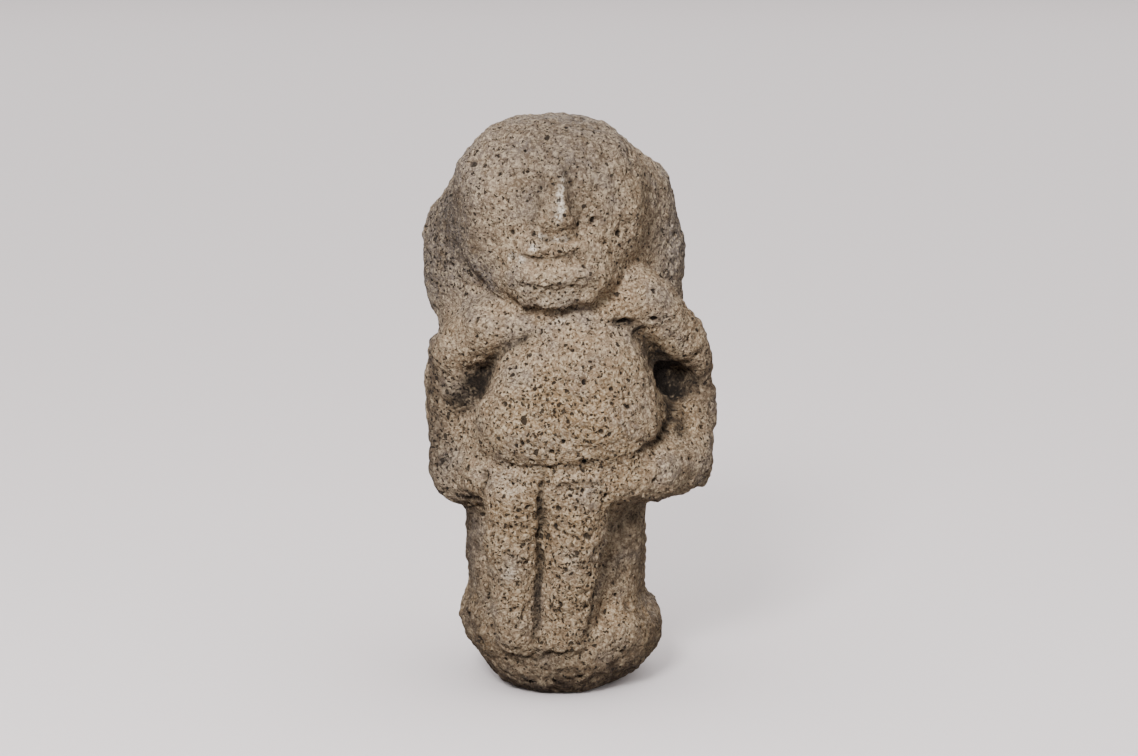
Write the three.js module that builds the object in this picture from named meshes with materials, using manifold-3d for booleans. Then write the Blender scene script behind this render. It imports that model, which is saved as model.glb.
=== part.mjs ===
// A double-headed figure, carved from one block of vesicular lava rock. Two squat figures with
// raised knees and hands on their bellies stand back to back on one low mound.
// Units are millimetres, +Z is up, the front figure looks along -Y, and the origin is the middle
// of the flat underside.
//
// The block is a list of carving steps. Each step adds a rounded mass or limb to the stone, or
// cuts one away, with a valley of a stated softness between. The steps give a distance that is
// negative inside the stone, and the skin where it is zero is laid on a grid that is finer over
// the front face.

import * as THREE from "three";
import { mergeVertices } from "three/addons/utils/BufferGeometryUtils.js";
import Module from "manifold-3d";

// Driving dimensions
const HEIGHT = 256;
const HEAD_HALF_WIDTH = 59;
const FACE_HALF_WIDTH = 43;
const BELLY_HALF_WIDTH = 42;
const TRUNK_HALF_WIDTH = 57;
const WAIST_HALF_WIDTH = 40.5;
const MOUND_HALF_WIDTH = 46;
const MOUND_HALF_DEPTH = 46;

// Levels above the underside that several forms share
const EYE_Z = HEIGHT - 30;
const NOSE_Z = HEIGHT - 41;
const MOUTH_Z = HEIGHT - 58;
const CHIN_Z = HEIGHT - 76;
const BELLY_Z = 134;
const KNEE_Z = 92;
const FOOT_Z = 29;
const MOUND_Z = 26;

// Softness of the valley where one form runs into the next
const CRISP = 2.5;
const FIRM = 6;
const SOFT = 12;

const point = (x, y, z) => new THREE.Vector3(x, y, z);

// Distance to a rounded mass. A power of 2 is an ellipsoid and more is boxier, and the height
// below the centre may differ from the height above it.
function mass(centre, [x, y, z], { power = 2.2, below = z } = {}) {
  const q = new THREE.Vector3();
  return (p) => {
    q.subVectors(p, centre);
    const length = Math.max(q.length(), 1e-6);
    const height = q.z < 0 ? below : z;
    const sum =
      Math.abs(q.x / x) ** power + Math.abs(q.y / y) ** power + Math.abs(q.z / height) ** power;
    return length - length / sum ** (1 / power);
  };
}

// Distance to a chain of tapered rods. Each stop is [x, y, z, radius].
function limb(...stops) {
  const joints = stops.map(([x, y, z, radius]) => ({ at: point(x, y, z), radius }));
  const along = new THREE.Vector3();
  const offset = new THREE.Vector3();
  return (p) => {
    let nearest = Infinity;
    for (let i = 0; i + 1 < joints.length; i++) {
      const [a, b] = [joints[i], joints[i + 1]];
      along.subVectors(b.at, a.at);
      offset.subVectors(p, a.at);
      const t = THREE.MathUtils.clamp(offset.dot(along) / along.lengthSq(), 0, 1);
      const gap = offset.addScaledVector(along, -t).length();
      nearest = Math.min(nearest, gap - THREE.MathUtils.lerp(a.radius, b.radius, t));
    }
    return nearest;
  };
}

// Distance to a low round swelling that rises a little above the surface at a point on it
function boss(at, outward, radius, rise) {
  const inward = point(...outward).normalize().multiplyScalar(rise - radius);
  return mass(point(...at).add(inward), [radius, radius, radius], { power: 2 });
}

// The lesser of two distances, with the valley between them filled to the given softness
function blend(a, b, softness) {
  const h = Math.max(softness - Math.abs(a - b), 0) / softness;
  return Math.min(a, b) - (h * h * softness) / 4;
}

const add = (softness, shape) => (stone, p) => blend(stone, shape(p), softness);
const cut = (softness, shape) => (stone, p) => -blend(-stone, shape(p), softness);

// A step turned round to the back of the block
function atBack(step) {
  const q = new THREE.Vector3();
  return (stone, p) => step(stone, q.set(p.x, -p.y, p.z));
}

const block = [
  add(SOFT, mass(point(1, 0, MOUND_Z), [MOUND_HALF_WIDTH, MOUND_HALF_DEPTH, 17], { below: 29 })),
  add(FIRM, mass(point(0, 0, MOUND_Z - 10), [33, 46, 14], { below: 22 })),
  cut(SOFT, mass(point(-60, 0, -6), [28, 70, 28])),
  add(FIRM, mass(point(-20, 2, MOUND_Z + 6), [26, 28, 12])),
  add(FIRM, mass(point(-2, 2, 80), [WAIST_HALF_WIDTH, 38, 78], { power: 3.2 })),
  add(FIRM, mass(point(3, 3, 131), [TRUNK_HALF_WIDTH, 43, 52], { power: 2.8 })),
  add(SOFT, mass(point(-3, 14, 190), [HEAD_HALF_WIDTH, 42, 48], { power: 2.3 })),
  add(FIRM, mass(point(26, 12, 214), [25, 32, 24])),
];

// The front figure

const frontHead = [
  add(
    SOFT,
    mass(point(-4, -18, 218), [FACE_HALF_WIDTH, 37, HEIGHT - 217], { power: 2.4, below: 37 }),
  ),
  add(FIRM, mass(point(-2, -30, MOUTH_Z - 3), [28, 27, 20], { power: 2.4 })),
];

const frontEyes = [
  add(CRISP, boss([-27, -47, EYE_Z], [-0.5, -0.85, 0.2], 28, 2.8)),
  add(CRISP, boss([19, -47, EYE_Z + 1], [0.5, -0.85, 0.2], 28, 2.8)),
];

const frontNose = [
  add(CRISP, limb([-1, -47, 238, 4.5], [-0.5, -52, 227, 5.5], [-0.5, -56.5, NOSE_Z + 1, 6])),
  add(FIRM, limb([-5, -45.5, 236, 4.5], [-6, -49.5, 227, 6], [-7, -52, NOSE_Z + 1, 6.5])),
  add(CRISP, mass(point(-2, -53.5, NOSE_Z), [11, 8, 4.5])),
];

const frontMouth = [
  add(
    CRISP,
    limb([-21, -50, 198, 3], [-11, -56, 203.5, 4.5], [6, -56, 204, 4.5], [18, -50, 199, 3]),
  ),
  add(CRISP, mass(point(-2, -49, MOUTH_Z - 8), [23, 12.5, 8.5])),
  add(
    CRISP,
    limb(
      [-25, -43, 189, 4],
      [-14, -51, 181.5, 4.5],
      [-1, -53, CHIN_Z, 4.5],
      [12, -51, 181.5, 4.5],
      [21, -43, 188, 4],
    ),
  ),
  cut(CRISP, limb([-15, -59, 198.5, 1.2], [-4, -62, MOUTH_Z, 2], [9, -60, 199, 1.2])),
  cut(CRISP, limb([-18, -57, 188, 1.2], [-1, -61, 183, 1.6], [17, -56, 188, 1.2])),
];

const frontTorso = [
  add(FIRM, limb([-28, -35, 166, 11], [0, -37, 167, 11], [30, -35, 173, 9])),
  add(
    FIRM,
    mass(point(4, -16, BELLY_Z), [BELLY_HALF_WIDTH, 46, 40], { power: 2.6, below: 38 }),
  ),
  add(SOFT, mass(point(3, -17, 122), [40, 41, 18], { power: 3.4 })),
];

const frontArms = [
  add(
    FIRM,
    limb(
      [-30, -33, 166, 12.5],
      [-44, -20, 152, 14],
      [-47, -10, 126, 13],
      [-43, -16, 98, 15.5],
      [-30, -34, 102, 12.5],
    ),
  ),
  add(
    FIRM,
    limb(
      [37, -32, 178, 12],
      [53, -18, 157, 13.5],
      [60, -6, 128, 10.5],
      [56, -14, 103, 14],
      [43, -31, 103, 15],
      [29, -43, 101, 12.5],
    ),
  ),
  cut(
    FIRM,
    limb([-9, -54, 165, 1], [-29, -47, 154, 3.5], [-36, -37, 143, 7], [-46, -31, 117, 4]),
  ),
  cut(
    FIRM,
    limb(
      [25, -50, 171, 2],
      [34, -46, 162, 4],
      [54, -26, 136, 11],
      [51, -36, 121, 6],
      [37, -53, 111, 2],
    ),
  ),
];

const frontLegs = [
  add(SOFT, mass(point(-6, -34, KNEE_Z + 3), [31, 22, 10], { power: 2.6 })),
  add(CRISP, limb([-20.5, -45, KNEE_Z, 14], [-20.5, -43, 65, 12.5], [-18, -41, FOOT_Z, 10])),
  add(CRISP, limb([8, -45, KNEE_Z, 15], [5.5, -43, 65, 13.5], [1.5, -41, FOOT_Z, 11.5])),
  cut(CRISP, limb([-8, -59, 93, 1.5], [-9, -54, 70, 3], [-11, -52, 45, 3.5], [-12.5, -50, FOOT_Z - 3, 3])),
  cut(CRISP, limb([-36, -50, 103, 1], [-36.5, -49, 88, 2])),
];

// The rear figure is plainer, and is described as if it faced front

const rearHead = [
  add(FIRM, mass(point(-3, -20, 206), [48, 37, 40], { below: 38 })),
  add(FIRM, mass(point(-3, -32, MOUTH_Z - 14), [32, 25, 17])),
];

const rearFace = [
  add(CRISP, boss([-23, -53, 212], [-0.4, -0.9, 0.1], 26, 3)),
  add(CRISP, boss([17, -53, 212], [0.4, -0.9, 0.1], 26, 3)),
  add(CRISP, limb([-3, -50, 230, 4.5], [-3, -58, 204, 7])),
  add(CRISP, limb([-20, -50, 190, 4], [-3, -56, 193, 5], [14, -50, 190, 4])),
  add(CRISP, limb([-20, -48, 183, 4], [-3, -54, 180, 5], [14, -48, 183, 4])),
];

const rearBody = [
  add(FIRM, mass(point(-1, -16, BELLY_Z), [40, 43, 40], { power: 2.5, below: 38 })),
  ...[-1, 1].map((side) =>
    add(
      FIRM,
      limb(
        [40 * side, -28, 160, 12],
        [50 * side, -14, 134, 13],
        [45 * side, -16, 104, 14],
        [26 * side, -38, 100, 11],
      ),
    ),
  ),
  ...[-1, 1].map((side) =>
    add(FIRM, limb([15 * side - 2, -42, KNEE_Z, 14], [13 * side - 2, -39, FOOT_Z, 11])),
  ),
  cut(CRISP, limb([-2, -56, 94, 1.5], [-2, -48, FOOT_Z - 2, 2.5])),
];

// The grooves down the sides that part the arms of the two figures
const sideGrooves = [
  cut(FIRM, limb([-62, 3, 148, 4], [-61, 2, 100, 5])),
  cut(FIRM, limb([67, 5, 148, 4], [65, 4, 100, 5])),
];

const carving = [
  ...block,
  ...[...rearBody, ...rearHead, ...rearFace].map(atBack),
  ...frontTorso,
  ...frontHead,
  ...frontEyes,
  ...frontNose,
  ...frontMouth,
  ...frontArms,
  ...frontLegs,
  ...sideGrooves,
];

// Low swells and dips that the pecking of the hammer stone left all over
const SWELL = 0.7;
const swells = [
  point(0.19, 0.11, 0.07),
  point(-0.08, 0.17, 0.13),
  point(0.12, -0.09, 0.21),
];

function stone(p) {
  const dip = swells.reduce((sum, wave, n) => sum + Math.sin(wave.dot(p) + n), 0);
  return carving.reduce((distance, step) => step(distance, p), Infinity) + (SWELL * dip) / 2;
}

// The mesh

// Grid lines from low to high. Each band is [end, spacing], and starts where the last one ended.
function gridLines(low, ...bands) {
  const lines = [low];
  for (const [end, spacing] of bands) {
    const start = lines.at(-1);
    const steps = Math.max(1, Math.round((end - start) / spacing));
    for (let i = 1; i <= steps; i++) lines.push(start + ((end - start) * i) / steps);
  }
  return lines;
}

const GRID = [
  gridLines(-84, [-37, 6.8], [26, 3.8], [84, 7.2]),
  gridLines(-84, [-40, 4.8], [40, 8], [84, 6.4]),
  gridLines(-20, [176, 7], [212, 3.3], [274, 4.8]),
];

// Lays a closed mesh on the surface where the function is zero. Each grid cell that the surface
// passes through gets one vertex, and each grid edge that it crosses gets one four-sided face.
function skin(shape, lines) {
  const [nx, ny, nz] = lines.map((line) => line.length);
  const index = ([i, j, k]) => i + nx * (j + ny * k);
  const value = new Float64Array(nx * ny * nz);
  const corners = [];
  for (let k = 0; k < nz; k++)
    for (let j = 0; j < ny; j++) for (let i = 0; i < nx; i++) corners.push([i, j, k]);
  for (const corner of corners)
    value[index(corner)] = shape(point(...corner.map((n, axis) => lines[axis][n])));

  const within = ([i, j, k]) => i + 1 < nx && j + 1 < ny && k + 1 < nz;
  const vertexOf = new Map();
  const vertices = [];
  for (const cell of corners.filter(within)) {
    const found = cellPoint(lines, cell, (corner) => value[index(corner)]);
    if (!found) continue;
    vertexOf.set(index(cell), vertices.length);
    vertices.push(found);
  }

  const steps = [1, nx, nx * ny];
  const faces = [];
  for (const corner of corners.filter((c) => within(c) && Math.min(...c) > 0))
    for (let axis = 0; axis < 3; axis++) {
      const here = index(corner);
      const inside = value[here] < 0;
      if (inside === value[here + steps[axis]] < 0) continue;
      const a = steps[(axis + 1) % 3];
      const b = steps[(axis + 2) % 3];
      const ring = [here - a - b, here - b, here, here - a].map((cell) => vertexOf.get(cell));
      faces.push(inside ? ring : ring.reverse());
    }
  return { vertices, faces };
}

// The mean of the points where the surface crosses a cell's twelve edges, or nothing
function cellPoint(lines, cell, valueAt) {
  const sum = new THREE.Vector3();
  let crossings = 0;
  for (let axis = 0; axis < 3; axis++)
    for (let side = 0; side < 4; side++) {
      const start = [...cell];
      start[(axis + 1) % 3] += side & 1;
      start[(axis + 2) % 3] += side >> 1;
      const end = [...start];
      end[axis] += 1;
      const [a, b] = [valueAt(start), valueAt(end)];
      if (a < 0 === b < 0) continue;
      const at = start.map((n, direction) => lines[direction][n]);
      at[axis] += (a / (a - b)) * (lines[axis][end[axis]] - at[axis]);
      sum.add(point(...at));
      crossings++;
    }
  return crossings ? sum.divideScalar(crossings) : null;
}

// Moves a vertex along the slope of the function until it lies on the surface
function settle(vertex, shape) {
  const probeStep = 0.05;
  const longestMove = 1.2;
  const slope = new THREE.Vector3();
  const probe = new THREE.Vector3();
  for (let round = 0; round < 3; round++) {
    const here = shape(vertex);
    for (const axis of ["x", "y", "z"]) {
      probe.copy(vertex)[axis] += probeStep;
      slope[axis] = (shape(probe) - here) / probeStep;
    }
    const move = here / Math.max(slope.lengthSq(), 0.1);
    vertex.addScaledVector(slope, -THREE.MathUtils.clamp(move, -longestMove, longestMove));
  }
}

// Settles the vertices on the surface, evening out their spacing between rounds
function relax({ vertices, faces }, shape, rounds, share) {
  for (const vertex of vertices) settle(vertex, shape);
  for (let round = 0; round < rounds; round++) {
    const sums = vertices.map(() => new THREE.Vector3());
    const counts = vertices.map(() => 0);
    for (const face of faces)
      face.forEach((corner, n) => {
        sums[corner].add(vertices[face[(n + 1) % face.length]]);
        counts[corner]++;
      });
    vertices.forEach((vertex, n) => vertex.lerp(sums[n].divideScalar(counts[n]), share));
    for (const vertex of vertices) settle(vertex, shape);
  }
}

// Splits each four-sided face along its shorter diagonal
function geometryOf({ vertices, faces }) {
  const span = (a, b) => vertices[a].distanceTo(vertices[b]);
  const triangles = faces.flatMap(([a, b, c, d]) =>
    span(a, c) < span(b, d) ? [a, b, c, a, c, d] : [a, b, d, b, c, d],
  );
  return new THREE.BufferGeometry().setFromPoints(vertices).setIndex(triangles);
}

const wasm = await Module();
wasm.setup();

function solidFrom(geometry) {
  const bare = geometry.clone();
  bare.deleteAttribute("normal");
  bare.deleteAttribute("uv");
  const merged = mergeVertices(bare, 1e-4);
  return new wasm.Manifold(
    new wasm.Mesh({
      numProp: 3,
      vertProperties: merged.attributes.position.array,
      triVerts: new Uint32Array(merged.index.array),
    }),
  );
}

function geometryFrom(solid) {
  const { vertProperties, triVerts } = solid.getMesh();
  const geometry = new THREE.BufferGeometry();
  geometry.setAttribute("position", new THREE.BufferAttribute(vertProperties, 3));
  geometry.setIndex(new THREE.BufferAttribute(triVerts, 1));
  geometry.computeVertexNormals();
  return geometry;
}

// The block, dressed flat below so that it stands by its own weight
function carvedBlock() {
  const rough = skin(stone, GRID);
  relax(rough, stone, 2, 0.3);
  const below = new THREE.BoxGeometry(400, 400, 100).translate(0, 0, -50);
  return geometryFrom(solidFrom(geometryOf(rough)).subtract(solidFrom(below)));
}

const lavaRock = new THREE.MeshStandardMaterial({
  color: 0x8f8376,
  roughness: 0.95,
  metalness: 0,
});

const figure = new THREE.Mesh(carvedBlock(), lavaRock);
figure.name = "lava_rock_figure";

const group = new THREE.Group();
group.add(figure);

export default group;
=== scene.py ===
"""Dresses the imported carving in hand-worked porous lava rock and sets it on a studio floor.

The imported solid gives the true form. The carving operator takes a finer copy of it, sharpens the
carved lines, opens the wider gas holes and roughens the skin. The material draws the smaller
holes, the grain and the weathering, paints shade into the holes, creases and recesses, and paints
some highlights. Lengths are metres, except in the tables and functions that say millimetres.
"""

import math

import bmesh
import bpy
import numpy as np
from bpy.props import FloatProperty, FloatVectorProperty, IntProperty, PointerProperty
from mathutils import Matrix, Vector, noise
from mathutils.bvhtree import BVHTree
from mathutils.kdtree import KDTree


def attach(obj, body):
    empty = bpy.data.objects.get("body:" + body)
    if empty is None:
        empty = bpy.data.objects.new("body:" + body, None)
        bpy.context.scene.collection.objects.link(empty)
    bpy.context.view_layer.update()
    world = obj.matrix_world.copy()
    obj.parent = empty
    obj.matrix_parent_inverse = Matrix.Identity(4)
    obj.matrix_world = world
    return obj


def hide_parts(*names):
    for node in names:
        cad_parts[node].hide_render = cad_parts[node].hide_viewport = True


bl_info = {
    "name": "Lava rock figure",
    "version": (1, 0, 0),
    "blender": (4, 5, 0),
    "location": "View3D > Sidebar > Lava Rock",
    "description": "Carves and finishes the packed double-headed figure in porous lava rock",
    "category": "Object",
}

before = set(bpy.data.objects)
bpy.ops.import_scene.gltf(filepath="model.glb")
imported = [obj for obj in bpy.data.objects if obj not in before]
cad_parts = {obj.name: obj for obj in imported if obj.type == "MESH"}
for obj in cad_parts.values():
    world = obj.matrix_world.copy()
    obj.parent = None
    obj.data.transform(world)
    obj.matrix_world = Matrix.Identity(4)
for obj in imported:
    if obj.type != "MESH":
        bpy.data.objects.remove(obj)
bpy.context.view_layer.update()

MM = 0.001
CAD_NODE = "lava_rock_figure"
# Collection of what the softbox at the back lights
FIGURES = "figures"

# Carved lines of the front figure, in millimetres. Each is (half width, depth, stops), and a
# stop is a place (x, y, z) on or near the surface. A depth below zero raises a ridge or fills a
# dip. Left and right are the viewer's.
FRONT_LINES = {
    "under the chin": (1.6, 1.8, [(-21, -46, 177), (-7, -53, 176), (1, -48, 175), (13, -51, 178)]),
    "crease below the lip": (
        1.1,
        0.6,
        [(-14, -57, 188.6), (-7, -59, 187.4), (-1, -60, 186.8), (4, -60, 188), (17, -56, 192.3)],
    ),
    "mouth filled": (2.2, -0.5, [(-16, -58, 199.5), (-5, -60, 198.3), (12, -59, 199.5)]),
    "mouth": (
        1.1,
        0.9,
        [(-14, -59, 200.2), (-9, -59, 199), (-4, -59, 198.8), (3, -59, 199.8), (9, -58, 201.4)],
    ),
    "left of the nose": (
        2.2,
        0.9,
        [(-8, -53, 237), (-8, -54, 227), (-9, -55, 219), (-12, -54, 210)],
    ),
    "right of the nose": (2.2, 1.6, [(3, -52, 238), (4, -54, 227), (5, -55, 219), (8, -54, 211)]),
    "under the nose": (1.0, 0.9, [(-12, -56, 208), (-6, -58, 207), (2, -58, 207), (8, -55, 209)]),
    "right shoulder": (1.8, 3.0, [(23, -45, 169.5), (28, -43, 169), (33, -41, 167)]),
    "right armpit": (
        3.0,
        3.2,
        [(32, -42, 168), (37, -39, 161), (41, -33, 154), (45, -25, 145), (50, -20, 136)],
    ),
    "right pocket": (5.5, 8.0, [(47, -26, 145), (51, -22, 139), (55, -21, 135)]),
    "right of the belly": (
        1.8,
        1.8,
        [(53, -20, 131), (49, -25, 123), (45, -34, 118), (36, -52, 115), (32, -54, 113)],
    ),
    "left armpit": (
        2.2,
        2.0,
        [(-10, -49, 165), (-20, -46, 160), (-27, -43, 155), (-31, -35, 148), (-36, -31, 140)],
    ),
    "left of the belly": (3.0, 1.4, [(-36, -31, 140), (-38, -30, 133), (-43, -28, 123)]),
    "under the belly": (
        1.3,
        0.9,
        [(-26, -50, 109), (-15, -56, 107.8), (-4, -58, 107.8), (7, -58, 108.3), (19, -59, 111)],
    ),
    "left hand and knee": (1.2, 1.6, [(-32, -48, 104), (-33, -49, 100), (-34, -47, 93)]),
    "under the left hand": (1.6, 1.8, [(-44, -31, 89), (-40, -34, 88.5), (-35, -44, 90)]),
    "between the legs": (
        1.5,
        2.3,
        [
            (-7.6, -57, 104.5),
            (-8, -57, 99),
            (-8.3, -53, 84),
            (-8.7, -49, 65),
            (-10, -47, 46),
            (-11.5, -46, 21),
        ],
    ),
    "left of the left leg": (
        2.2,
        2.8,
        [(-33.6, -42, 92), (-33.4, -44, 79), (-33, -42, 65), (-32, -32, 42), (-29.5, -37, 26)],
    ),
    "beside the right leg filled": (
        3.5,
        -1.8,
        [(21, -37, 57), (18.5, -38, 47), (16.4, -40, 39), (14.5, -43, 31)],
    ),
    "right of the right leg": (
        1.5,
        1.2,
        [
            (22.5, -40, 86),
            (22, -36, 78),
            (18.5, -45, 70),
            (15, -45, 59),
            (12, -46, 45),
            (11, -46, 28),
        ],
    ),
    "pillar beside the right leg": (
        6.0,
        1.5,
        [(30, -28, 84), (28.5, -30, 70), (27, -31, 58), (23, -33, 46)],
    ),
    "left under the chin filled": (
        5.0,
        -2.6,
        [(-41, -33, 200), (-35, -36, 193), (-29, -37, 186), (-22, -42, 180)],
    ),
    "left knee top": (
        2.4,
        -2.6,
        [(-29, -49, 97), (-27, -51, 101.5), (-20, -54, 103.5), (-14, -55, 103), (-12, -55, 98)],
    ),
    "right knee top": (
        2.4,
        -2.6,
        [(-3, -57, 98), (-1, -57, 102.5), (8, -58, 103.5), (17, -56, 102), (20, -55, 97)],
    ),
    "front of the feet": (
        1.4,
        1.3,
        [(-21, -45, 20.5), (-11, -45, 18.5), (-4, -48, 22.5), (8, -49, 23)],
    ),
}

# Carved lines of the plainer rear figure, in the same terms
REAR_LINES = {
    "mouth": (
        1.2,
        1.6,
        [(-19, 50, 187.6), (-11, 54, 185.8), (-3, 56, 187), (6, 54, 185.8), (13, 50, 187)],
    ),
    "left of the nose": (2.0, 1.3, [(5, 50, 228), (5, 54, 214), (6.5, 54, 203)]),
    "right of the nose": (2.0, 1.3, [(-11, 50, 228), (-11, 54, 214), (-12.5, 54, 203)]),
    "under the nose": (1.3, 1.2, [(-11, 56, 198), (-3, 58, 197), (5, 56, 198)]),
    "under the chin": (1.8, 2.0, [(-26, 40, 173), (-14, 46, 169), (-3, 48, 168), (18, 42, 172)]),
    "left arm": (2.2, 1.8, [(31, 40, 152), (37, 37, 141), (38.5, 36, 130), (35, 42, 117)]),
    "right arm": (2.2, 1.8, [(-32, 40, 151), (-36, 37, 142), (-39, 36, 129), (-36, 42, 118)]),
    "under the belly": (
        1.5,
        1.5,
        [(-27, 49, 112), (-15, 54, 107.6), (-3, 56, 109), (9, 56, 107.4), (25, 50, 111)],
    ),
    "between the legs": (
        1.7,
        1.6,
        [
            (-2, 47.5, 97),
            (-2.4, 46, 85),
            (-2, 45.2, 72),
            (-2.4, 43, 55),
            (-2, 41, 45),
            (-2.3, 45.5, 25),
        ],
    ),
}

# Wide holes and chips of the front, in millimetres: (x, y, z, half width, half height, depth)
FRONT_HOLES = (
    (-37.8, -38.7, 237.5, 3.6, 2.3, 1.4),
    (-11.0, -58.0, 200.8, 0.8, 0.8, 1.0),
    (-8.2, -59.0, 202.0, 0.9, 0.8, 1.0),
    (-5.0, -59.5, 200.6, 0.9, 0.8, 1.1),
    (-2.2, -60.0, 202.2, 0.8, 0.8, 0.9),
    (1.0, -59.5, 200.8, 0.9, 0.8, 1.1),
    (4.4, -59.0, 201.6, 0.9, 0.8, 1.0),
    (7.6, -58.0, 203.0, 0.9, 0.9, 1.1),
    (-13.8, -52.4, 235.4, 1.3, 1.2, 1.6),
    (14.4, -53.3, 214.6, 1.5, 2.1, 2.2),
    (25.4, -46.5, 207.8, 2.0, 1.9, 2.0),
    (8.0, -55.0, 213.0, 1.2, 1.3, 1.6),
    (-11.0, -55.9, 209.0, 1.5, 1.2, 1.8),
    (-17.2, -36.8, 253.0, 1.2, 1.2, 1.4),
    (7.0, -48.8, 241.9, 1.1, 1.1, 1.3),
    (-24.3, -49.0, 185.3, 1.3, 1.1, 1.4),
    (25.2, -39.1, 185.6, 1.2, 1.2, 1.4),
    (40.8, -40.6, 170.1, 2.2, 1.6, 2.2),
    (28.2, -43.1, 169.2, 3.6, 1.5, 2.0),
    (-25.0, -46.0, 170.1, 1.9, 2.3, 1.0),
    (-36.8, -45.3, 163.1, 1.1, 1.7, 1.6),
    (22.8, -48.6, 164.5, 1.3, 1.3, 1.4),
    (22.2, -58.5, 142.5, 1.5, 1.5, 1.8),
    (29.7, -57.1, 134.6, 1.5, 1.5, 1.8),
    (27.6, -57.1, 137.9, 1.1, 1.1, 1.3),
    (3.6, -63.0, 129.0, 1.5, 1.5, 1.6),
    (17.7, -63.0, 124.7, 1.7, 1.7, 1.8),
    (21.4, -62.2, 123.6, 1.3, 1.3, 1.5),
    (1.4, -61.8, 119.8, 1.5, 1.6, 1.7),
    (-3.3, -61.2, 115.3, 1.6, 1.5, 1.7),
    (10.5, -58.9, 110.5, 1.3, 2.4, 2.2),
    (-2.4, -62.2, 132.9, 1.2, 1.2, 1.4),
    (-8.6, -61.2, 139.1, 1.2, 1.2, 1.3),
    (9.9, -58.1, 98.0, 1.2, 1.8, 2.0),
    (4.4, -58.5, 95.7, 1.4, 1.2, 1.6),
    (-1.4, -56.8, 89.5, 1.4, 2.0, 1.9),
    (-2.2, -55.3, 81.4, 1.3, 2.0, 1.9),
    (11.4, -55.8, 77.3, 2.1, 2.2, 1.5),
    (-17.3, -58.7, 88.9, 2.2, 1.3, 1.5),
    (6.2, -57.5, 81.7, 1.1, 1.4, 1.5),
    (0.3, -54.0, 46.2, 1.5, 1.7, 1.9),
    (-4.3, -51.0, 44.3, 1.3, 1.6, 1.6),
    (4.4, -55.1, 53.9, 1.1, 1.6, 1.5),
    (-19.6, -52.0, 44.1, 1.6, 1.1, 1.5),
    (-16.6, -51.0, 39.6, 1.3, 2.0, 1.5),
    (31.6, -29.5, 38.6, 3.4, 3.2, 1.0),
    (-13.6, -39.4, 6.4, 2.6, 2.2, 1.6),
)

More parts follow.
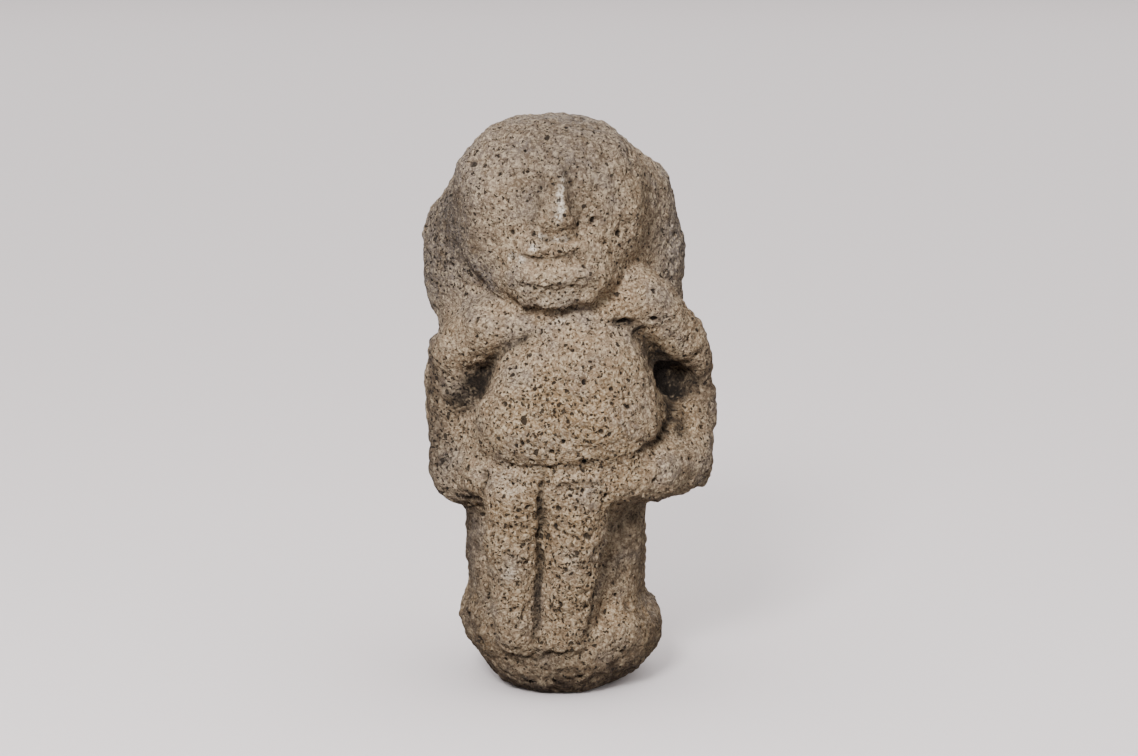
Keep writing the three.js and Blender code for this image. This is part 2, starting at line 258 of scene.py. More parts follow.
# What is painted on the stone: (value elsewhere, spots). A spot is (x, y, z, reach, value), with
# its place and its reach in millimetres and the value in its middle.
SPOTS = {
    "porous": (
        0.80,
        (
            (0, -50, 225, 50, 0.80),
            (0, -50, 165, 30, 0.90),
            (-55, -15, 205, 40, 1.05),
            (-52, -22, 112, 30, 1.05),
            (0, -60, 118, 50, 1.05),
            (-18, -55, 80, 34, 0.95),
            (6, -55, 70, 40, 1.05),
            (4, -52, 40, 30, 0.95),
            (48, -38, 104, 26, 0.65),
            (32, -30, 66, 26, 0.50),
            (-44, -18, 62, 22, 0.45),
            (36, -25, 35, 26, 0.65),
            (-50, -20, 140, 30, 1.05),
        ),
    ),
    "warm_stain": (
        0.08,
        (
            (6, -60, 116, 50, 0.55),
            (-18, -55, 90, 34, 0.35),
            (6, -56, 80, 38, 0.38),
            (0, -52, 40, 40, 0.26),
            (44, -22, 34, 34, 0.50),
            (-30, -20, 30, 40, 0.25),
            (50, -20, 120, 18, 0.40),
            (40, -34, 156, 16, 0.40),
            (20, 55, 60, 60, 0.25),
            (-40, 20, 30, 50, 0.25),
            (0, -30, 235, 60, 0.05),
        ),
    ),
    "grey_skin": (
        0.08,
        (
            (-52, -20, 210, 44, 0.85),
            (-60, 15, 190, 50, 0.80),
            (58, -2, 205, 36, 0.65),
            (58, 20, 200, 44, 0.75),
            (-40, -34, 236, 34, 0.60),
            (-32, -36, 189, 18, 0.80),
            (0, -40, 250, 50, 0.50),
            (-52, -22, 100, 26, 0.35),
            (-44, -16, 62, 24, 0.45),
            (0, 60, 200, 60, 0.40),
        ),
    ),
    # White marks, partly worn stone and partly painted highlight: along the nose ridge and under
    # it, on the lips, and lighter on the knee tops, chest and belly where light falls
    "rubbed_and_highlit": (
        0.0,
        (
            (2.2, -54, 234, 2.0, 0.7),
            (2.0, -55, 232, 2.0, 0.9),
            (1.2, -57, 229, 2.2, 0.9),
            (0.3, -58, 226, 2.5, 1.0),
            (0.2, -60, 223, 2.6, 1.0),
            (0.9, -61, 219.7, 2.6, 1.0),
            (-0.4, -61.5, 216.4, 2.6, 0.8),
            (-8, -58, 208.0, 2.2, 0.9),
            (-4.5, -58.5, 207.4, 2.2, 0.9),
            (-1, -58.5, 207.0, 2.2, 0.9),
            (2.5, -58, 206.8, 2.0, 0.7),
            (-11.2, -61, 203.6, 2.4, 1.2),
            (-20.5, -54, 199, 3.2, 0.9),
            (-16.5, -57, 198.6, 2.8, 0.8),
            (-20, -58, 99, 5.0, 0.45),
            (-21, -54, 103, 14, 0.20),
            (8, -58, 103, 17, 0.20),
            (0, -56, 183, 18, 0.12),
            (2, -60, 112, 26, 0.08),
            (-22, -54, 60, 5.0, 0.30),
            (0, -48, 171, 5.0, 0.35),
        ),
    ),
    # Painted shade, with some dirt: darker on the underside and sides of the base, the outer sides
    # of the arms, under the right forearm, beside the left leg, in the armpits and the pocket, on
    # the left side of the head, and on the forehead and crown
    "soiled_and_shaded": (
        0.0,
        (
            (0, -30, 258, 44, 0.40),
            (0, -46, 0, 34, 1.00),
            (-32, -30, 4, 30, 0.95),
            (32, -30, 6, 32, 1.00),
            (42, -24, 26, 24, 0.60),
            (0, 40, 0, 34, 0.80),
            (40, -20, 60, 26, 0.60),
            (38, -28, 82, 20, 0.70),
            (27, -30, 70, 12, 0.50),
            (25, -32, 54, 10, 0.50),
            (54, -10, 30, 34, 0.65),
            (-44, -16, 78, 17, 1.00),
            (-44, -14, 60, 17, 1.00),
            (-44, -14, 42, 15, 0.80),
            (-39, -26, 80, 9, 0.80),
            (-39, -26, 66, 9, 0.80),
            (-39, -25, 52, 9, 0.70),
            (54, -22, 139, 14, 1.00),
            (52, -24, 127, 10, 0.90),
            (-36, -32, 140, 12, 0.70),
            (-60, -14, 140, 30, 0.85),
            (-58, -14, 110, 26, 0.85),
            (-46, -24, 26, 28, 0.80),
            (-52, -22, 208, 40, 0.62),
            (0, -50, 236, 40, 0.48),
            (-32, -36, 189, 16, 0.25),
            (66, -6, 140, 30, 0.55),
            (66, -6, 110, 26, 0.45),
        ),
    ),
}

# Spots of painted shade in deep places where shadow falls: the pocket under the right arm and the
# two armpits
SHADE_SPOTS_IN_HOLLOWS = (
    (36, -40, 163, 5, 0.7),
    (40, -35, 156, 6, 0.9),
    (43, -30, 151, 7, 1.1),
    (45, -25, 149.5, 7, 1.2),
    (47, -22, 145.5, 8, 1.1),
    (49, -20, 141, 8, 1.7),
    (52, -17, 135, 8, 1.6),
    (58, -17, 138, 9, 0.7),
    (48, -22, 129, 6, 0.8),
    (49, -24, 125, 6, 1.0),
    (53, -26, 118, 7, 0.8),
    (46, -31, 120, 5, 1.1),
    (44, -37, 118, 4, 0.8),
    (-30, -36, 149, 6, 0.7),
    (-34, -31, 144, 8, 1.0),
    (-37, -31, 138, 9, 1.3),
    (-44, -28, 131, 9, 0.9),
)
# All that the mesh carries for the material. "hollow_shade_and_dirt" is how much painted shade,
# with some dirt, the lines and deep places get, and "sunk" is how far down a cut hole goes, which
# the material also paints as shade.
PAINTED = ("hollow_shade_and_dirt", "sunk", *SPOTS)

# A carved line is followed by points this far apart, in millimetres
LINE_SPACING = 0.8
# A line is cut inside a box that reaches this many half widths past its stops
LINE_REACH = 2.2
# A line begins and ends at this share of its depth
LINE_END = 0.25
# From there it deepens at a rate that gains the whole depth in this share of its length
LINE_FADE = 0.18
# A line that is this many times as deep as half its width is wholly painted in shade
DARK_STEEPNESS = 1.3
# A hole that is this deep, in millimetres, is wholly painted in shade
DARK_DEPTH = 1.6

# Shares of a cut hole's half width: how far the places are looked for, where the wall starts
# and how wide the wall is
HOLE_REACH = 1.15
HOLE_EDGE = 1.05
HOLE_WALL = 0.55

# The carved lines wander this far, in millimetres, in bends of this width
WANDER = 0.9
WANDER_WIDTH = 7

# Layers of the pecked skin: (width in millimetres, shift of the noise, share of the height)
PECKED_LAYERS = ((14, 5, 0.7), (5.5, 17, 0.8), (2.6, 29, 0.8))

# The relief fades out over this height above the underside, in millimetres
FOOT = 2.5


def linear(hex_colour):
    """A colour written as sRGB hex, such as #8C7A66, in linear values."""
    values = [int(hex_colour[i : i + 2], 16) / 255 for i in (1, 3, 5)]
    return tuple(v / 12.92 if v <= 0.04045 else ((v + 0.055) / 1.055) ** 2.4 for v in values)


class CarvingSizes(bpy.types.PropertyGroup):
    """Sizes of the relief that is cut into the mesh"""

    mesh_step: FloatProperty(
        name="Mesh step",
        description="Grid size that the stone is laid out on before it is carved",
        default=0.72 * MM,
        precision=5,
        unit="LENGTH",
        subtype="DISTANCE",
    )
    face_limit: IntProperty(
        name="Face limit",
        description="Triangles that the finished carving may have",
        default=190_000,
    )
    pecking: FloatProperty(
        name="Pecking",
        description="Height of the uneven skin that the hammer stone left",
        default=1.0 * MM,
        precision=5,
        unit="LENGTH",
        subtype="DISTANCE",
    )
    line_depth: FloatProperty(
        name="Line depth",
        description="How deep the carved lines are, as a share of their listed depth",
        default=1.0,
        subtype="FACTOR",
    )
    hole_count: IntProperty(
        name="Wide holes",
        description="Scattered gas holes that are wide enough to be cut into the mesh",
        default=1900,
    )
    widest_hole: FloatProperty(
        name="Widest hole",
        description="Width of the widest scattered gas hole",
        default=3.0 * MM,
        precision=5,
        unit="LENGTH",
        subtype="DISTANCE",
    )
    seed: IntProperty(
        name="Seed",
        description="Number that the scatter of holes starts from",
        default=7,
    )


class RockFinish(bpy.types.PropertyGroup):
    """Colours and pattern sizes of the lava rock"""

    stone: FloatVectorProperty(
        name="Stone",
        description="Main colour of the weathered skin",
        default=linear("#9C846B"),
        subtype="COLOR",
    )
    pale: FloatVectorProperty(
        name="Pale grain",
        description="Colour of the paler grains and patches",
        default=linear("#D8C2A3"),
        subtype="COLOR",
    )
    dark: FloatVectorProperty(
        name="Dark grain",
        description="Colour of the darker grains and patches",
        default=linear("#5C4B39"),
        subtype="COLOR",
    )
    # Also the colour of the painted shade in the fine pits, the holes, the carved lines and the
    # deep places
    hole: FloatVectorProperty(
        name="Hole",
        description="Colour inside the gas holes",
        default=linear("#18110B"),
        subtype="COLOR",
    )
    stain: FloatVectorProperty(
        name="Iron stain",
        description="Colour where iron in the stone has rusted",
        default=linear("#93734A"),
        subtype="COLOR",
    )
    grey: FloatVectorProperty(
        name="Grey skin",
        description="Colour of the fresher, bluish skin on the sides of the head",
        default=linear("#757376"),
        subtype="COLOR",
    )
    # Colour of the painted shade, with some dirt, on undersides, sides and recesses
    soil_and_shade: FloatVectorProperty(
        name="Soil",
        description="Colour where soil and shade have darkened the stone",
        default=linear("#3F3227"),
        subtype="COLOR",
    )
    # White of the worn marks and of the painted highlights
    rubbed_and_highlit: FloatVectorProperty(
        name="Rubbed stone",
        description="Colour where the stone has been rubbed or bruised white",
        default=linear("#F2E4D2"),
        subtype="COLOR",
    )
    grain_width: FloatProperty(
        name="Grain width",
        description="Width of the mineral grains, drawn wider than real ones so that they show",
        default=1.3 * MM,
        precision=5,
        unit="LENGTH",
        subtype="DISTANCE",
    )
    hole_depth: FloatProperty(
        name="Hole depth",
        description="Depth of the drawn gas holes",
        default=0.9 * MM,
        precision=5,
        unit="LENGTH",
        subtype="DISTANCE",
    )


class StudioStage(bpy.types.PropertyGroup):
    """Camera, floor and lights"""

    floor_size: FloatProperty(
        name="Floor size",
        description="Side of the square floor",
        default=26.0,
        unit="LENGTH",
        subtype="DISTANCE",
    )
    floor_colour: FloatVectorProperty(
        name="Floor",
        description="Colour of the matt paper floor",
        default=linear("#CFC7C7"),
        subtype="COLOR",
    )
    camera_angle: FloatProperty(
        name="Camera angle",
        description="Angle of the camera above the level",
        default=math.radians(10),
        subtype="ANGLE",
    )
    camera_distance: FloatProperty(
        name="Camera distance",
        description="Distance from the camera to the middle of the view",
        default=1.2,
        unit="LENGTH",
        subtype="DISTANCE",
    )
    view_width: FloatProperty(
        name="View width",
        description="Width of the view at the figure",
        default=512.1 * MM,
        unit="LENGTH",
        subtype="DISTANCE",
    )
    room_light: FloatProperty(
        name="Room light",
        description="Strength of the even light from all round",
        default=0.21,
    )
    main_light: FloatProperty(
        name="Main light",
        description="Power of the soft light from the upper left",
        default=24.5,
        unit="POWER",
    )
    second_light: FloatProperty(
        name="Second light",
        description="Power of the soft light from the right",
        default=2.0,
        unit="POWER",
    )
    rear_light: FloatProperty(
        name="Rear light",
        description="Power of the soft light behind the figure",
        default=15.0,
        unit="POWER",
    )
    floor_light: FloatProperty(
        name="Floor light",
        description="Power of the wide overhead light that reaches only the floor",
        default=4300.0,
        unit="POWER",
    )


def add_node(tree, kind, inputs=None, output=0, **settings):
    """Adds a node with its settings, gives inputs their values or links, and returns an output."""
    node = tree.nodes.new(kind)
    for name, value in settings.items():
        setattr(node, name, value)
    for name, value in (inputs or {}).items():
        if isinstance(value, bpy.types.NodeSocket):
            tree.links.new(value, node.inputs[name])
        else:
            node.inputs[name].default_value = value
    return node.outputs[output]


def rgba(colour):
    return (*colour, 1.0)


# Gas holes that the material draws, in millimetres: (spacing, widest radius, share of the
# places that hold one). The finest are drawn wider than the real ones, so that they show.
DRAWN_HOLES = (
    (1.5, 0.80, 0.75),
    (2.0, 0.80, 0.55),
    (2.6, 1.10, 0.65),
    (5.0, 1.60, 0.45),
)
# Widths in millimetres of a drawn hole's wall and of the stained skin round it
RIM_WIDTH = 0.22
HALO_WIDTH = 0.7
# The drawn holes' places waver by up to half of this, in bends of this width
WAVER = 3.2 * MM
WAVER_WIDTH = 2.1 * MM
# The crumbling skin raises or lowers "sunk" by up to half of this
CRUMBLE = 0.8
# Heights in millimetres of the crumbling skin and of the grains
CRUMB_HEIGHT = 1.1
GRAIN_HEIGHT = 0.45


def pecked_vesicular_basalt(finish):
    """Vesicular basalt, pecked to shape with a hammer stone and long weathered.

    Open gas holes of all sizes are painted dark inside as shade, the skin between them is a matt
    mix of pale and dark grains, iron has rusted round the holes low down, the carved lines and
    deep places get painted shade with some dirt, and white marks, partly worn stone and partly
    painted highlight, lie on the nose, the lips and the raised fronts.
    """
    material = bpy.data.materials.new("pecked_vesicular_basalt")
    material.use_nodes = True
    tree = material.node_tree
    surface = tree.nodes["Principled BSDF"]
    place = add_node(tree, "ShaderNodeTexCoord", output="Object")
    painted = {
        name: add_node(tree, "ShaderNodeAttribute", output="Fac", attribute_name=name)
        for name in PAINTED
    }

    # A small waver in the place keeps the holes from being round
    waver = add_node(
        tree, "ShaderNodeTexNoise", {"Vector": place, "Scale": 1 / WAVER_WIDTH}, "Color"
    )
    centred = add_node(
        tree, "ShaderNodeVectorMath", {0: waver, 1: (0.5, 0.5, 0.5)}, operation="SUBTRACT"
    )
    wavered = add_node(
        tree,
        "ShaderNodeVectorMath",
        {0: centred, 1: (WAVER,) * 3, 2: place},
        operation="MULTIPLY_ADD",
    )

    # Of the points strewn through the stone, a share are bubbles, each with its own radius. The
    # skin cuts through some of them. The wall is 1 at their rims and 0 on their floors.
    wall, halo = 1.0, 1.0
    for spacing, radius, share in DRAWN_HOLES:
        gap = add_node(
            tree,
            "ShaderNodeTexVoronoi",
            {"Vector": wavered, "Scale": 1 / (spacing * MM), "Randomness": 1.0},
            "Distance",
        )
        chance = add_node(tree, "ShaderNodeSeparateColor", {0: gap.node.outputs["Color"]}, "Red")
        widest = add_node(
            tree,
            "ShaderNodeMath",
            {0: painted["porous"], 1: radius / spacing},
            operation="MULTIPLY",
        )
        reach = add_node(
            tree,
            "ShaderNodeMapRange",
            {"Value": chance, "From Min": 1 - share, "To Max": widest},
        )
        beyond = add_node(tree, "ShaderNodeMath", {0: gap, 1: reach}, operation="SUBTRACT")
        rim = add_node(
            tree,
            "ShaderNodeMapRange",
            {"Value": beyond, "From Min": -RIM_WIDTH / spacing, "From Max": 0.0},
            interpolation_type="SMOOTHSTEP",
        )
        outside = add_node(
            tree,
            "ShaderNodeMapRange",
            {"Value": beyond, "From Max": HALO_WIDTH / spacing},
        )
        wall = add_node(tree, "ShaderNodeMath", {0: rim, 1: wall}, operation="MULTIPLY")
        halo = add_node(tree, "ShaderNodeMath", {0: outside, 1: halo}, operation="MULTIPLY")

    # Grains, the crumbling skin, mottling and patches, from the finest to the widest
    grain, crumb, mottle, patches = (
        add_node(
            tree,
            "ShaderNodeTexNoise",
            {"Vector": where, "Scale": 1 / width, "Detail": detail, "Roughness": roughness},
        )
        for where, width, detail, roughness in (
            (place, finish.grain_width, 3.0, 0.7),
            (wavered, 1.9 * MM, 2.0, 0.6),
            (place, 5 * MM, 3.0, 0.6),
            (place, 16 * MM, 2.0, 0.5),
        )
    )
    # Single crystals a millimetre wide, each with its own tone
    crystals = add_node(
        tree, "ShaderNodeTexVoronoi", {"Vector": wavered, "Scale": 1 / (1.0 * MM)}, "Color"
    )
    speck = add_node(tree, "ShaderNodeSeparateColor", {0: crystals}, "Green")

    # The cut holes' soft sides get a crumbling edge
    sunk = add_node(
        tree,
        "ShaderNodeMath",
        {0: crumb, 1: CRUMBLE, 2: painted["sunk"]},
        operation="MULTIPLY_ADD",
    )
    sunk = add_node(tree, "ShaderNodeMath", {0: sunk, 1: CRUMBLE / 2}, operation="SUBTRACT")

    # Each layer of colour is (colour, pattern, where it starts, where it is full, how full)
    tone = rgba(finish.stone)
    for colour, pattern, start, full, most in (
        (finish.stain, patches, 0.50, 0.68, 0.32),
        (finish.grey, patches, 0.50, 0.32, 0.45),
        (finish.pale, mottle, 0.50, 0.68, 0.40),
        (finish.dark, mottle, 0.48, 0.32, 0.45),
        (finish.grey, mottle, 0.20, 0.55, painted["grey_skin"]),
        (finish.stain, mottle, 0.36, 0.62, painted["warm_stain"]),
        (finish.stain, halo, 1.0, 0.2, painted["warm_stain"]),
        (finish.pale, speck, 0.60, 0.95, 0.55),
        (finish.dark, speck, 0.35, 0.05, 0.45),
        (finish.pale, grain, 0.52, 0.64, 0.60),
        (finish.dark, grain, 0.46, 0.36, 0.68),
        # Painted shade, with some dirt, on undersides, sides and recesses
        (finish.soil_and_shade, mottle, 0.90, 0.32, painted["soiled_and_shaded"]),
        # Worn white marks and painted highlights
        (finish.rubbed_and_highlit, grain, 0.38, 0.56, painted["rubbed_and_highlit"]),
        # Painted shade: the hole colour darkens the fine pits, the carved lines and deep places,
        # and the floors of the drawn and cut holes
        (finish.hole, crumb, 0.39, 0.30, 0.70),
        (finish.hole, mottle, 1.0, 0.15, painted["hollow_shade_and_dirt"]),
        (finish.hole, crumb, 0.75, 0.30, painted["hollow_shade_and_dirt"]),
        (finish.hole, wall, 1.0, 0.15, 0.88),
        (finish.hole, sunk, 0.38, 0.95, 0.92),
    ):
        amount = add_node(
            tree,
            "ShaderNodeMapRange",
            {"Value": pattern, "From Min": start, "From Max": full, "To Max": most},
            interpolation_type="SMOOTHSTEP",
        )
        tone = add_node(
            tree, "ShaderNodeMix", {0: amount, 6: tone, 7: rgba(colour)}, 2, data_type="RGBA"
        )
    tree.links.new(tone, surface.inputs["Base Color"])

    # Dull everywhere, and a little smoother on the tops of the grains
    rough = add_node(
        tree,
        "ShaderNodeMapRange",
        {"Value": grain, "From Min": 0.7, "From Max": 0.3, "To Min": 0.84, "To Max": 0.98},
    )
    tree.links.new(rough, surface.inputs["Roughness"])
    surface.inputs["IOR"].default_value = 1.5
    surface.inputs["Specular IOR Level"].default_value = 0.3

    # The height is that of the grains, the crumbling skin and the holes together
    grains = add_node(tree, "ShaderNodeMath", {0: grain, 1: GRAIN_HEIGHT}, operation="MULTIPLY")
    skin = add_node(
        tree, "ShaderNodeMath", {0: crumb, 1: CRUMB_HEIGHT, 2: grains}, operation="MULTIPLY_ADD"
    )
    height = add_node(
        tree,
        "ShaderNodeMath",
        {0: wall, 1: finish.hole_depth / MM, 2: skin},
        operation="MULTIPLY_ADD",
    )
    bump = add_node(tree, "ShaderNodeBump", {"Height": height, "Distance": MM})
    tree.links.new(bump, surface.inputs["Normal"])
    return material


def places_and_normals(mesh):
    """The vertices' places in millimetres and their normals."""
    places = np.empty(len(mesh.vertices) * 3, np.float32)
    mesh.vertices.foreach_get("co", places)
    normals = np.empty(len(mesh.vertices) * 3, np.float32)
    mesh.vertices.foreach_get("normal", normals)
    return places.reshape(-1, 3) / MM, normals.reshape(-1, 3)


def noise_at(places, width, shift):
    """Smooth noise from about -1 to 1 with features of that width in millimetres."""
    return np.array([noise.noise(p) for p in (places / width + shift).tolist()])


def with_modifiers(mesh, name, *steps):
    """A copy of the mesh after modifiers, each given as (kind, settings)."""
    carrier = bpy.data.objects.new(name, mesh)
    bpy.context.scene.collection.objects.link(carrier)
    for kind, settings in steps:
        modifier = carrier.modifiers.new(kind.lower(), kind)
        for key, value in settings.items():
            setattr(modifier, key, value)
    evaluated = carrier.evaluated_get(bpy.context.evaluated_depsgraph_get())
    result = bpy.data.meshes.new_from_object(evaluated)
    bpy.data.objects.remove(carrier)
    return result


def even_mesh(node, step):
    """The solid's form with its facets rounded, on an even mesh of that step."""
    merged = bmesh.new()
    merged.from_mesh(node.data)
    bmesh.ops.remove_doubles(merged, verts=merged.verts, dist=0.001 * MM)
    base = bpy.data.meshes.new("form")
    merged.to_mesh(base)
    merged.free()
    return with_modifiers(
        base,
        "form",
        ("SUBSURF", {"levels": 2, "render_levels": 2}),
        ("REMESH", {"mode": "VOXEL", "voxel_size": step}),
        ("SMOOTH", {"factor": 0.5, "iterations": 4}),
    )


def line_samples(stops, surface):
    """Points along a line of stops, moved onto the surface, with their share of the way."""
    samples = []
    for start, end in zip(stops, stops[1:]):
        start, end = Vector(start), Vector(end)
        count = max(1, round((end - start).length / LINE_SPACING))
        samples += [start.lerp(end, i / count) for i in range(count)]
    samples.append(Vector(stops[-1]))
    on_surface = [surface.find_nearest(s * MM)[0] / MM for s in samples]
    return np.array(on_surface), np.linspace(0, 1, len(samples))


def line_cut(places, stops, half_width, surface):
    """How far into a carved line each place is, from 0 beside it to 1 in its middle."""
    samples, way = line_samples(stops, surface)
    reach = half_width * LINE_REACH
    near = np.all(
        (places > samples.min(0) - reach) & (places < samples.max(0) + reach), axis=1
    ).nonzero()[0]
    cut = np.zeros(len(places))
    if len(near) == 0:
        return cut
    gaps = np.linalg.norm(places[near, None] - samples[None], axis=2)
    nearest = gaps.argmin(1)
    run = way[nearest]
    taper = np.clip(np.minimum(run, 1 - run) / LINE_FADE + LINE_END, 0, 1)
    cut[near] = np.exp(-((gaps.min(1) / half_width) ** 2)) * taper
    return cut


def ease(share, height):
    """How far a soft rise from 0 to the height has come at that share of its way."""
    return height * share * share * (3 - 2 * share)


def hole_cut(places, normals, tree, centre, width, height, turn, depth, sink):
    """Sinks the places round a centre into an oval, steep-sided hole."""
    reach = max(width, height) * HOLE_REACH
    near = [i for _, i, _ in tree.find_range(centre, reach)]
    if not near:
        return
    outward = normals[near].mean(0)
    outward /= max(np.linalg.norm(outward), 1e-6)
    across = np.cross((0, 0, 1), outward)
    across /= max(np.linalg.norm(across), 1e-6)
    along = np.cross(outward, across)
    across, along = (
        across * math.cos(turn) + along * math.sin(turn),
        along * math.cos(turn) - across * math.sin(turn),
    )
    offset = places[near] - np.array(centre)
    out = np.hypot(offset @ across / width, offset @ along / height)
    down = np.clip((HOLE_EDGE - out) / HOLE_WALL, 0, 1)
    sink[near] = np.maximum(sink[near], ease(down, depth))


def spots_at(places, base, spots):
    """The value at each place, which goes from the base to each spot's own near its middle."""
    values = np.full(len(places), float(base))
    for x, y, z, reach, value in spots:
        gap = np.linalg.norm(places - (x, y, z), axis=1) / reach
        # The innermost fifth of the reach has the full value
        values += ease(np.clip(1.25 * (1 - gap), 0, 1), value - values)
    return values


def paint(mesh, name, values):
    layer = mesh.attributes.new(name, "FLOAT", "POINT")
    layer.data.foreach_set("value", np.asarray(values, np.float32))


def carve_relief(mesh, sizes):
    """Cuts the lines, the wide holes and the pecked skin into the mesh."""
    rng = np.random.default_rng(sizes.seed)
    places, normals = places_and_normals(mesh)
    surface = BVHTree.FromPolygons(
        [v.co for v in mesh.vertices], [p.vertices for p in mesh.polygons]
    )

    # The lines wander a little, as hammered ones do
    bends = [noise_at(places, WANDER_WIDTH, shift) for shift in (11, 23, 37)]
    wander = np.stack(bends, axis=1) * WANDER
    hollow_shade_and_dirt = np.zeros(len(places))
    height = np.zeros(len(places))
    for half_width, depth, stops in (*FRONT_LINES.values(), *REAR_LINES.values()):
        cut = line_cut(places + wander, stops, half_width, surface)
        height -= cut * depth * sizes.line_depth
        # Steep, deep lines get the most painted shade
        dark = np.clip(depth / half_width / DARK_STEEPNESS, 0, 1)
        hollow_shade_and_dirt = np.maximum(hollow_shade_and_dirt, cut * dark)

    tree = KDTree(len(places))
    for index, place in enumerate(places.tolist()):
        tree.insert(place, index)
    tree.balance()
    sink = np.zeros(len(places))
    for x, y, z, half_width, half_height, depth in FRONT_HOLES:
        centre = surface.find_nearest(Vector((x, y, z)) * MM)[0] / MM
        hole_cut(places, normals, tree, centre, half_width, half_height, 0.0, depth, sink)

    # More holes low on the belly and down the legs, fewer on the face and the back
    knees, spread, front = 80, 60, -10
    low = np.exp(-(((places[:, 2] - knees) / spread) ** 2)) * (places[:, 1] < front)
    share = 0.5 + 0.9 * low
    picks = rng.choice(len(places), sizes.hole_count, replace=False, p=share / share.sum())
    widest = sizes.widest_hole / MM / 2
    for pick in picks:
        # Narrow ones are far more common than wide ones
        half = widest * (0.42 + 0.58 * rng.random() ** 3.2)
        stretch = 1 + 0.35 * rng.random()
        hole_cut(
            places,
            normals,
            tree,
            places[pick].tolist(),
            half * stretch,
            half,
            rng.uniform(0, math.pi),
            half * rng.uniform(0.8, 1.3),
            sink,
        )

    pecked = sum(
        weight * noise_at(places, width, shift) for width, shift, weight in PECKED_LAYERS
    )
    height += pecked * sizes.pecking / MM - sink

    # The underside stays flat where it stands
    height *= np.clip(places[:, 2] / FOOT, 0, 1)
    carved = places + normals * height[:, None]
    carved[:, 2] = np.maximum(carved[:, 2], 0)
    mesh.vertices.foreach_set("co", (carved * MM).astype(np.float32).ravel())
    # Painted shade, with some dirt, in the carved lines and deep places
    hollow_shade_and_dirt = np.maximum(hollow_shade_and_dirt, spots_at(places, 0, SHADE_SPOTS_IN_HOLLOWS))
    paint(mesh, "hollow_shade_and_dirt", hollow_shade_and_dirt)
    paint(mesh, "sunk", np.clip(sink / DARK_DEPTH, 0, 1))
    mesh.update()


class LAVAROCK_OT_set_stage(bpy.types.Operator):
    """Set the camera, the pale floor and the soft lights"""

    bl_idname = "lava_rock.set_stage"
    bl_label = "Set stage"
    bl_options = {"REGISTER", "UNDO"}

    def execute(self, context):
        stage = context.scene.lava_rock_stage
        middle = Vector((4, 0, 137)) * MM
        data = bpy.data.cameras.new("photo_view")
        data.sensor_width = 36
        data.lens = data.sensor_width * stage.camera_distance / stage.view_width
        camera = bpy.data.objects.new("photo_view", data)
        context.scene.collection.objects.link(camera)
        away = Vector((0, -math.cos(stage.camera_angle), math.sin(stage.camera_angle)))
        camera.location = middle + away * stage.camera_distance
        camera.rotation_euler = (-away).to_track_quat("-Z", "Y").to_euler()
        context.scene.camera = camera

        half = stage.floor_size / 2
        mesh = bpy.data.meshes.new("paper_floor")
        corners = [(-half, -half, 0), (half, -half, 0), (half, half, 0), (-half, half, 0)]
        mesh.from_pydata(corners, [], [(0, 1, 2, 3)])
        mesh.materials.append(uncoated_paper(stage))
        floor = bpy.data.objects.new("paper_floor", mesh)
        # The photographed figure has no bright floor below it, so this one sends it no light
        floor.visible_diffuse = False
        floors = bpy.data.collections.new("floors")
        figures = bpy.data.collections.new(FIGURES)
        for collection in (floors, figures):
            context.scene.collection.children.link(collection)
        floors.objects.link(floor)

        world = bpy.data.worlds.new("studio_room")
        context.scene.world = world
        world.use_nodes = True
        light = world.node_tree.nodes["Background"]
        light.inputs["Color"].default_value = rgba(linear("#F3F0F0"))
        way = add_node(world.node_tree, "ShaderNodeTexCoord", output="Generated")
        rise = add_node(world.node_tree, "ShaderNodeSeparateXYZ", {0: way}, "Z")
        # The room is pale above the floor's level and dark below it
        strength = add_node(
            world.node_tree,
            "ShaderNodeMapRange",
            {
                "Value": rise,
                "From Min": -0.35,
                "From Max": 0.05,
                "To Min": 0.1 * stage.room_light,
                "To Max": stage.room_light,
            },
        )
        world.node_tree.links.new(strength, light.inputs["Strength"])

        # Each softbox is (place, width, power, the collection that alone it lights, if any)
        softboxes = {
            "main_softbox": ((-0.28, -1.08, 0.84), 0.32, stage.main_light, None),
            "second_softbox": ((0.95, -0.85, 0.30), 0.60, stage.second_light, None),
            "rear_softbox": ((0.10, 1.10, 0.80), 0.60, stage.rear_light, figures),
            "floor_softbox": ((0.00, 0.00, 6.00), stage.floor_size, stage.floor_light, floors),
        }
        for name, (place, width, power, receivers) in softboxes.items():
            data = bpy.data.lights.new(name, "AREA")
            data.size = width
            data.energy = power
            lamp = bpy.data.objects.new(name, data)
            context.scene.collection.objects.link(lamp)
            lamp.location = place
            aim = Vector((place[0], place[1], 0)) if name == "floor_softbox" else middle
            lamp.rotation_euler = (aim - Vector(place)).to_track_quat("-Z", "Y").to_euler()
            lamp.visible_camera = False
            if receivers:
                lamp.light_linking.receiver_collection = receivers
        return {"FINISHED"}


def uncoated_paper(stage):
    """Uncoated paper off the roll: matt, with a faint fibre cloud in its tone."""
    material = bpy.data.materials.new("uncoated_paper")
    material.use_nodes = True
    tree = material.node_tree
    surface = tree.nodes["Principled BSDF"]
    place = add_node(tree, "ShaderNodeTexCoord", output="Object")
    fibres = add_node(tree, "ShaderNodeTexNoise", {"Vector": place, "Scale": 1 / (3 * MM)})
    cloud = rgba([0.98 * value for value in stage.floor_colour])
    tone = add_node(
        tree,
        "ShaderNodeMix",
        {0: fibres, 6: cloud, 7: rgba(stage.floor_colour)},
        2,
        data_type="RGBA",
    )
    tree.links.new(tone, surface.inputs["Base Color"])
    surface.inputs["Roughness"].default_value = 0.9
    surface.inputs["Specular IOR Level"].default_value = 0.2
    return material


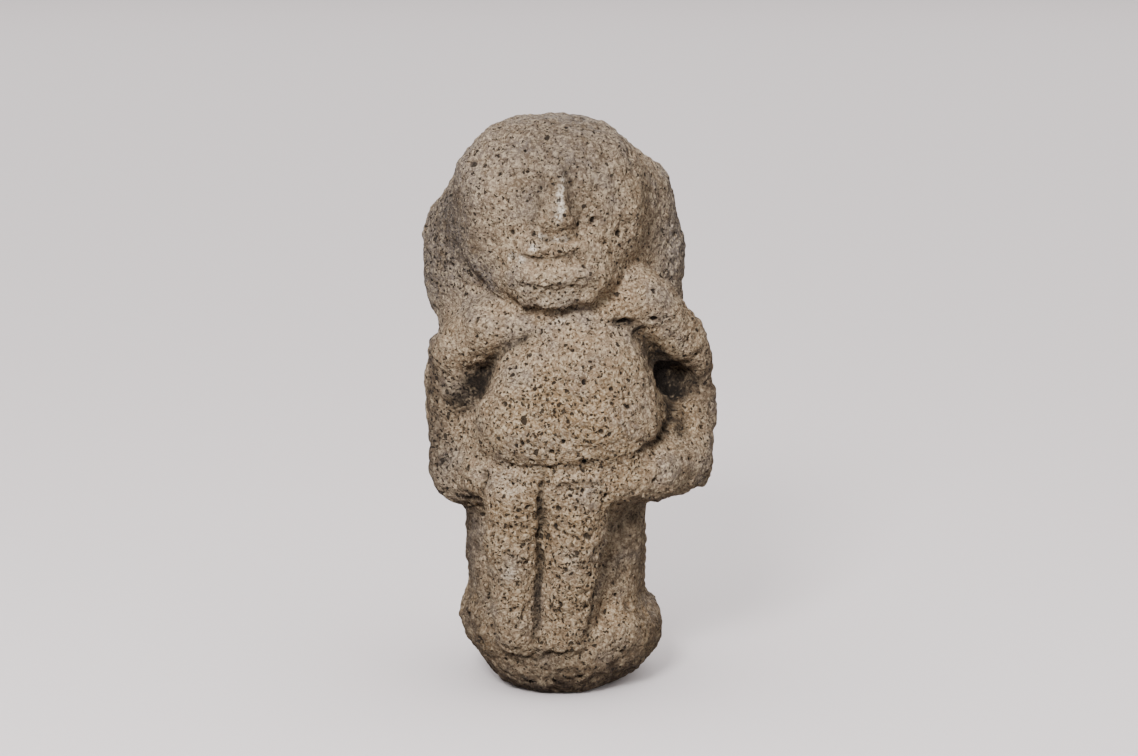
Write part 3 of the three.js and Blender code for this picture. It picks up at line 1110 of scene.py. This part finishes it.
class LAVAROCK_OT_carve_figure(bpy.types.Operator):
    """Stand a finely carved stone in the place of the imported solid"""

    bl_idname = "lava_rock.carve_figure"
    bl_label = "Carve figure"
    bl_options = {"REGISTER", "UNDO"}

    def execute(self, context):
        sizes = context.scene.lava_rock_sizes
        mesh = even_mesh(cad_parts[CAD_NODE], sizes.mesh_step)
        carve_relief(mesh, sizes)
        triangles = sum(len(p.vertices) - 2 for p in mesh.polygons)
        carved = with_modifiers(
            mesh, "carved", ("DECIMATE", {"ratio": min(1.0, sizes.face_limit / triangles)})
        )
        carved.name = "carved_lava_rock"
        places, _ = places_and_normals(carved)
        for name, (base, spots) in SPOTS.items():
            paint(carved, name, spots_at(places, base, spots))
        carved.polygons.foreach_set("use_smooth", np.ones(len(carved.polygons), bool))
        carved.materials.clear()
        carved.materials.append(pecked_vesicular_basalt(context.scene.lava_rock_finish))
        figure = bpy.data.objects.new("carved_lava_rock", carved)
        bpy.data.collections[FIGURES].objects.link(figure)
        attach(figure, "root")
        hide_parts(CAD_NODE)
        return {"FINISHED"}


class LAVAROCK_PT_sidebar(bpy.types.Panel):
    """Lists the steps and their sizes"""

    bl_idname = "LAVAROCK_PT_sidebar"
    bl_label = "Lava rock figure"
    bl_space_type = "VIEW_3D"
    bl_region_type = "UI"
    bl_category = "Lava Rock"

    def draw(self, context):
        layout = self.layout
        steps = (
            (LAVAROCK_OT_set_stage, ("lava_rock_stage",)),
            (LAVAROCK_OT_carve_figure, ("lava_rock_sizes", "lava_rock_finish")),
        )
        for operator, groups in steps:
            layout.operator(operator.bl_idname)
            for group in (getattr(context.scene, name) for name in groups):
                for name in group.bl_rna.properties.keys():
                    if name not in {"rna_type", "name"}:
                        layout.prop(group, name)


CLASSES = (
    CarvingSizes,
    RockFinish,
    StudioStage,
    LAVAROCK_OT_set_stage,
    LAVAROCK_OT_carve_figure,
    LAVAROCK_PT_sidebar,
)


def register():
    for cls in CLASSES:
        bpy.utils.register_class(cls)
    bpy.types.Scene.lava_rock_sizes = PointerProperty(type=CarvingSizes)
    bpy.types.Scene.lava_rock_finish = PointerProperty(type=RockFinish)
    bpy.types.Scene.lava_rock_stage = PointerProperty(type=StudioStage)


def unregister():
    del bpy.types.Scene.lava_rock_stage
    del bpy.types.Scene.lava_rock_finish
    del bpy.types.Scene.lava_rock_sizes
    for cls in reversed(CLASSES):
        bpy.utils.unregister_class(cls)


def main():
    register()
    bpy.ops.lava_rock.set_stage()
    bpy.ops.lava_rock.carve_figure()


if __name__ == "__main__":
    main()
